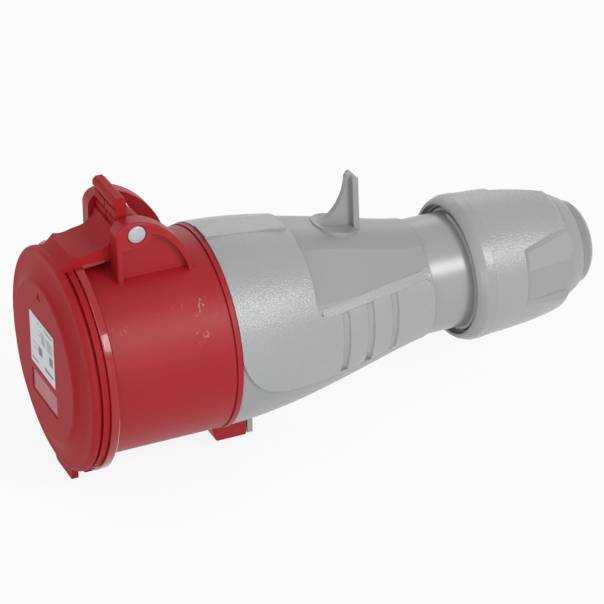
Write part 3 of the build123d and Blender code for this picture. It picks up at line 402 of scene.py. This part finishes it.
def plain_plastic(name, colour, rough, depth=0.3):
    """Plastic without texture, with faint clouding. Depth is the share of the grain that shows."""
    grain = bpy.context.scene.socket_grain
    f = Finish(name, Specular_IOR_Level=0.5)
    cloud = f.noise(0.006, 3)
    fine = f.noise(grain.size, 2)
    shade = f.mix(cloud, rgba(colour, 0.93), rgba(colour, 1.07))
    return f.show(Base_Color=shade, Roughness=rough + 0.08 * (cloud - 0.5),
                  Normal=f.bump(fine, depth * grain.depth, f.soft_edges(grain.edge)))


def metal(name, colour, rough, grain_along=(1, 1, 1)):
    """Bare metal with fine drawing lines, and darker where it is stained."""
    f = Finish(name, Metallic=1.0)
    drawn = f.noise(0.0004, 3, 0.6, grain_along)
    stain = f.noise(0.004, 4)
    shade = f.mix(f.step(stain, 0.45, 0.75), rgba(colour), rgba(colour, 0.72))
    return f.show(Base_Color=shade, Roughness=rough + 0.15 * (drawn - 0.5) + 0.15 * (stain - 0.5),
                  Normal=f.bump(drawn, 0.00002, f.soft_edges(0.00012)))


def rubber(name):
    """Black rubber with a little dust."""
    f = Finish(name, Specular_IOR_Level=0.35)
    fine = f.noise(0.0005, 3, 0.6)
    dust = f.step(f.noise(0.0025, 4), 0.5, 0.8)
    return f.show(Base_Color=f.mix(dust * 0.25, rgba((0.028, 0.028, 0.03)), rgba((0.12, 0.12, 0.12))),
                  Roughness=0.62 + 0.15 * fine, Normal=f.bump(fine, 0.00004, f.soft_edges(0.00015)))


class SOCKET_OT_red_mouldings(bpy.types.Operator):
    """Give the lid and the sleeve their red plastic"""
    bl_idname = "socket.red_mouldings"
    bl_label = "Red mouldings"

    def execute(self, context):
        dress(red_moulding("lid red", True), "lid")
        dress(red_moulding("sleeve red", False), "socket_sleeve")
        return {"FINISHED"}


class SOCKET_OT_grey_mouldings(bpy.types.Operator):
    """Give the rear housing, nut, bush and pin their grey plastics"""
    bl_idname = "socket.grey_mouldings"
    bl_label = "Grey mouldings"

    def execute(self, context):
        look = context.scene.socket_colours
        dress(grey_moulding("housing grey", housing_areas), "rear_housing")
        dress(grey_moulding("nut grey", nut_areas), "gland_nut")
        dress(plain_plastic("bush grey", look.bush_grey, 0.13, 0.1), "end_bush")
        dress(plain_plastic("pin grey", look.pin_grey, 0.3, 0.1), "hinge_pin")
        return {"FINISHED"}


class SOCKET_OT_inner_parts(bpy.types.Operator):
    """Give contacts, carrier, screws, spring and seals their finishes"""
    bl_idname = "socket.inner_parts"
    bl_label = "Inner parts"

    def execute(self, context):
        look = context.scene.socket_colours
        dress(plain_plastic("carrier moulding", look.carrier, 0.45, 0.8),
              "contact_carrier", "terminal_plate")
        dress(plain_plastic("natural moulding", (0.62, 0.61, 0.56), 0.4), "slip_ring", "clamp_basket")
        dress(metal("contact brass", (0.72, 0.53, 0.25), 0.28, (0.15, 1, 1)),
              "contact_l1", "contact_l2", "contact_l3", "contact_earth")
        dress(metal("plated steel", (0.62, 0.62, 0.63), 0.25), "phase_clamp_rings", "earth_clamp_ring",
              "plate_screws", "terminal_screws", "lid_spring")
        dress(rubber("seal rubber"), "lid_seal", "body_gasket", "cable_seal")
        return {"FINISHED"}


def mesh_piece(name, points, body, material):
    """Mesh of a closed section carried along a path, from its grid of points (path, section, 3), with its
    two ends closed. Its faces point outwards where the section runs clockwise as seen along the path."""
    rows, columns = points.shape[:2]
    index = np.arange(rows * columns).reshape(rows, columns)
    wrapped = np.hstack([index, index[:, :1]])
    faces = np.stack([wrapped[:-1, :-1], wrapped[:-1, 1:], wrapped[1:, 1:], wrapped[1:, :-1]], -1)
    ends = [index[0, ::-1].tolist(), index[-1].tolist()]
    mesh = bpy.data.meshes.new(name)
    mesh.from_pydata(points.reshape(-1, 3).tolist(), [], faces.reshape(-1, 4).tolist() + ends)
    mesh.shade_smooth()
    mesh.materials.append(material)
    piece = bpy.data.objects.new(name, mesh)
    bpy.context.scene.collection.objects.link(piece)
    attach(piece, body)


def thread_ridge(thread):
    """Grid of the gland thread. At turn t a closed section stands at x = start + pitch t and at the angle
    first + 2 pi t round the axis: up one flank from under the neck's surface, over the crest and down the
    other. It is grow times as wide and 0.6 + 0.4 grow times as high as the full section, where grow rises
    from 0.3 to 1 over the first 0.02 of a turn and falls back over the last 0.2."""
    t = np.linspace(0, thread.turns, int(thread.turns * 120) + 1)[:, None]
    grow = 0.3 + 0.7 * np.clip(np.minimum(t / 0.02, (thread.turns - t) / 0.2), 0, 1)
    across = np.array([-0.36, -0.16, -0.10, 0.10, 0.16, 0.36]) * thread.pitch
    x = thread.start + thread.pitch * t + across * grow
    sunk = thread.root - 0.6 * MM
    r = sunk + (thread.crest - sunk) * np.array([0, 0.93, 1, 1, 0.93, 0]) * (0.6 + 0.4 * grow)
    angle = thread.first + 2 * math.pi * t
    return np.stack([x + 0 * r, r * np.cos(angle), r * np.sin(angle)], -1)


class SOCKET_OT_label(bpy.types.Operator):
    """Give the lid's label its film and a plain generic print"""
    bl_idname = "socket.label"
    bl_label = "Label"

    def execute(self, context):
        look = context.scene.socket_colours
        low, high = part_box("lid_label")
        f = Finish("label film", Specular_IOR_Level=0.5)
        wide = (f.y - low.y) * (1 / (high.y - low.y))
        tall = (f.z - low.z) * (1 / (high.z - low.z))

        def field(left, right, bottom, top):
            return (f.step(wide, left, left + FIELD_EDGE) * (1 - f.step(wide, right, right + FIELD_EDGE))
                    * f.step(tall, bottom, bottom + FIELD_EDGE) * (1 - f.step(tall, top, top + FIELD_EDGE)))

        bars = 0.0
        for limits in BROKEN_BARS:
            bars = field(*limits).math("MAXIMUM", bars)
        ink = bars * f.step(f.noise(0.0009, 1, 0.5, (1, 1, 0.05)), 0.36, 0.42)
        for limits in SOLID_FIELDS:
            ink = field(*limits).math("MAXIMUM", ink)
        cloud = f.noise(0.004, 3)
        film = f.mix(cloud, rgba(look.label, 0.97), rgba(look.label, 1.02))
        dress(f.show(Base_Color=f.mix(ink * 0.88, film, rgba(look.ink)),
                     Roughness=0.30 + 0.12 * cloud + 0.1 * ink), "lid_label")
        return {"FINISHED"}


class SOCKET_OT_thread(bpy.types.Operator):
    """Raise the gland thread on the neck"""
    bl_idname = "socket.thread"
    bl_label = "Gland thread"

    def execute(self, context):
        look = context.scene.socket_colours
        grid = thread_ridge(context.scene.socket_thread)
        material = plain_plastic("thread grey", look.grey, 0.2, 0.1)
        mesh_piece("gland_thread", grid, "body", material)
        return {"FINISHED"}


def area_light(name, middle, azimuth, elevation, distance, size, power):
    """Soft light that shines at middle from that side and height."""
    a, e = math.radians(azimuth), math.radians(elevation)
    away = Vector((math.sin(a) * math.cos(e), -math.cos(a) * math.cos(e), math.sin(e)))
    light = bpy.data.lights.new(name, "AREA")
    light.shape = "RECTANGLE"
    light.size, light.size_y = size
    light.energy = power
    piece = bpy.data.objects.new(name, light)
    piece.location = middle + away * distance
    piece.rotation_mode = "QUATERNION"
    piece.rotation_quaternion = away.to_track_quat("Z", "Y")
    bpy.context.scene.collection.objects.link(piece)


def seen_directly(tree):
    """1 for camera, glossy and transmission rays, 0 for the rest."""
    path = tree.nodes.new("ShaderNodeLightPath")
    most = path.outputs["Is Camera Ray"]
    for name in ("Is Glossy Ray", "Is Transmission Ray"):
        node = tree.nodes.new("ShaderNodeMath")
        node.operation = "MAXIMUM"
        tree.links.new(most, node.inputs[0])
        tree.links.new(path.outputs[name], node.inputs[1])
        most = node.outputs[0]
    return most


def place_camera(scene, stage):
    """The photograph's camera. It looks along its own -Z, and focal is its lens in sensor widths."""
    a, e, r = stage.azimuth, stage.elevation, stage.roll
    back = Vector((math.sin(a) * math.cos(e), -math.cos(a) * math.cos(e), math.sin(e)))
    right = Vector((math.cos(a), math.sin(a), 0))
    up = back.cross(right)
    right, up = right * math.cos(r) + up * math.sin(r), up * math.cos(r) - right * math.sin(r)
    camera = bpy.data.cameras.new("camera")
    camera.sensor_width = 36
    camera.lens = camera.sensor_width * stage.focal
    camera.clip_start, camera.clip_end = 0.01, 10
    eye = bpy.data.objects.new("camera", camera)
    turn = Matrix((right, up, back)).transposed().to_4x4()
    eye.matrix_world = Matrix.Translation(stage.eye) @ turn
    scene.collection.objects.link(eye)
    scene.camera = eye


def light_world(scene, stage):
    """A white backdrop where the world is seen directly, and ambient light of its own level elsewhere."""
    world = bpy.data.worlds.new("studio")
    world.use_nodes = True
    tree = world.node_tree
    tree.nodes.clear()
    output = tree.nodes.new("ShaderNodeOutputWorld")
    background = tree.nodes.new("ShaderNodeBackground")
    shade = tree.nodes.new("ShaderNodeMix")
    shade.data_type = "RGBA"
    shade.inputs[6].default_value = (stage.sky, stage.sky, stage.sky, 1)
    shade.inputs[7].default_value = (1, 1, 1, 1)
    tree.links.new(seen_directly(tree), shade.inputs[0])
    tree.links.new(shade.outputs[2], background.inputs[0])
    tree.links.new(background.outputs[0], output.inputs[0])
    scene.world = world


def lay_floor(scene, stage, z):
    """A floor at that height. Seen directly it is nearly plain white, with a faint shadow."""
    corners = [(sx * FLOOR_HALF, sy * FLOOR_HALF, z) for sx, sy in ((-1, -1), (1, -1), (1, 1), (-1, 1))]
    mesh = bpy.data.meshes.new("floor")
    mesh.from_pydata(corners, [], [(0, 1, 2, 3)])
    floor = bpy.data.objects.new("floor", mesh)
    scene.collection.objects.link(floor)
    f = Finish("floor", Roughness=0.9, Specular_IOR_Level=0.0, Base_Color=rgba(stage.floor))
    white = f.node("ShaderNodeEmission", None, {"Color": (1, 1, 1, 1), "Strength": 1.0})
    share = f.node("ShaderNodeMath", {"operation": "MULTIPLY"}, {0: seen_directly(f.tree), 1: FLOOR_GLOW})
    both = f.node("ShaderNodeMixShader", None,
                  {0: share.outputs[0], 1: f.shader.outputs[0], 2: white.outputs[0]})
    f.put(f.output.inputs["Surface"], both.outputs[0])
    mesh.materials.append(f.material)


class SOCKET_OT_stage(bpy.types.Operator):
    """Set up the floor, the lights and the photograph's camera"""
    bl_idname = "socket.stage"
    bl_label = "Stage"

    def execute(self, context):
        scene = context.scene
        stage = scene.socket_stage
        scene.view_settings.view_transform = "Standard"
        low, high = CAD_BOX
        place_camera(scene, stage)
        light_world(scene, stage)
        lay_floor(scene, stage, low.z)
        middle = (low + high) / 2
        area_light("key", middle, 29, 32, 2.5, (0.95, 0.85), stage.key)
        area_light("front", middle, -15, 10, 1.0, (1.0, 0.35), 1.7)
        area_light("left", middle, -78, 16, 1.0, (0.7, 0.4), 1.5)
        area_light("back", middle, 165, 28, 1.0, (0.9, 0.4), 1.1)
        return {"FINISHED"}


class SOCKET_PT_dressing(bpy.types.Panel):
    bl_label = "Inline socket"
    bl_idname = "SOCKET_PT_dressing"
    bl_space_type = "VIEW_3D"
    bl_region_type = "UI"
    bl_category = "Socket"

    def draw(self, context):
        for group in (context.scene.socket_colours, context.scene.socket_grain, context.scene.socket_thread,
                      context.scene.socket_stage):
            for name in group.bl_rna.properties.keys():
                if name not in ("rna_type", "name"):
                    self.layout.prop(group, name)
        for operator in OPERATORS:
            self.layout.operator(operator.bl_idname)


GROUPS = {"socket_colours": SocketColours, "socket_grain": SocketGrain, "socket_thread": SocketThread,
          "socket_stage": SocketStage}
OPERATORS = (SOCKET_OT_red_mouldings, SOCKET_OT_grey_mouldings, SOCKET_OT_inner_parts, SOCKET_OT_label,
             SOCKET_OT_thread, SOCKET_OT_stage)


def register():
    for name, group in GROUPS.items():
        bpy.utils.register_class(group)
        setattr(bpy.types.Scene, name, bpy.props.PointerProperty(type=group))
    for item in OPERATORS + (SOCKET_PT_dressing,):
        bpy.utils.register_class(item)


def unregister():
    for item in (SOCKET_PT_dressing,) + OPERATORS[::-1]:
        bpy.utils.unregister_class(item)
    for name, group in GROUPS.items():
        delattr(bpy.types.Scene, name)
        bpy.utils.unregister_class(group)


def main():
    register()
    bpy.ops.socket.red_mouldings()
    bpy.ops.socket.grey_mouldings()
    bpy.ops.socket.inner_parts()
    bpy.ops.socket.label()
    bpy.ops.socket.thread()
    bpy.ops.socket.stage()


if __name__ == "__main__":
    main()
